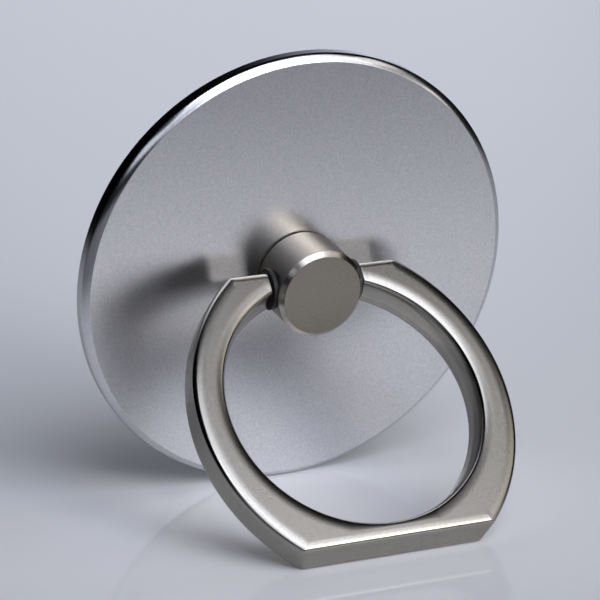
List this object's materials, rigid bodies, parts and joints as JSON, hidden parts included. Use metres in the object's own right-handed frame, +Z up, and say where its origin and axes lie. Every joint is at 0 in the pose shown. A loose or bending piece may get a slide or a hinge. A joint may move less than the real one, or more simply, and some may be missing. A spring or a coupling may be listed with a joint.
{
  "type": "phone ring holder",
  "caption": "Round metal plate that sticks to a phone, with a swivelling post and a hinged finger ring whose flat foot also props it as a stand.",
  "frame": {"origin": "on the table, under the middle of the standing holder", "axes": "+Z up from the table, +X along the hinge pin, -Y the side that the post and the ring's foot face"},
  "size_m": [0.04, 0.0256, 0.0396],
  "materials": {
    "plate_metal": "bead-blasted satin nickel with a polished rounded rim",
    "ring_metal": "satin nickel-plated zinc casting with softened bright edges",
    "post_metal": "turned, satin nickel plated",
    "spring_steel": "plain bright steel",
    "black_polymer": "matt black moulded",
    "foam": "dark grey acrylic foam with a dull sticky skin"
  },
  "bodies": {
    "base": {"base_plate": "plate_metal", "adhesive_pad": "foam"},
    "swivel": {"swivel_post": "post_metal", "glide_washer": "black_polymer", "disc_spring": "spring_steel", "retaining_washer": "spring_steel", "swivel_screw": "spring_steel", "hinge_pin": "spring_steel", "hinge_washer_left": "black_polymer", "hinge_washer_right": "black_polymer"},
    "ring": {"finger_ring": "ring_metal"}
  },
  "joints": [
    {"name": "post_swivel", "type": "hinge", "parent": "base", "child": "swivel", "pos_m": [0, 0.00745, 0.01966], "axis": [0, -0.9875, -0.1574], "continuous": true},
    {"name": "ring_fold", "type": "hinge", "parent": "swivel", "child": "ring", "pos_m": [0, 0.00499, 0.01927], "axis": [-1, 0, 0], "range_deg": [-52, 128]}
  ]
}
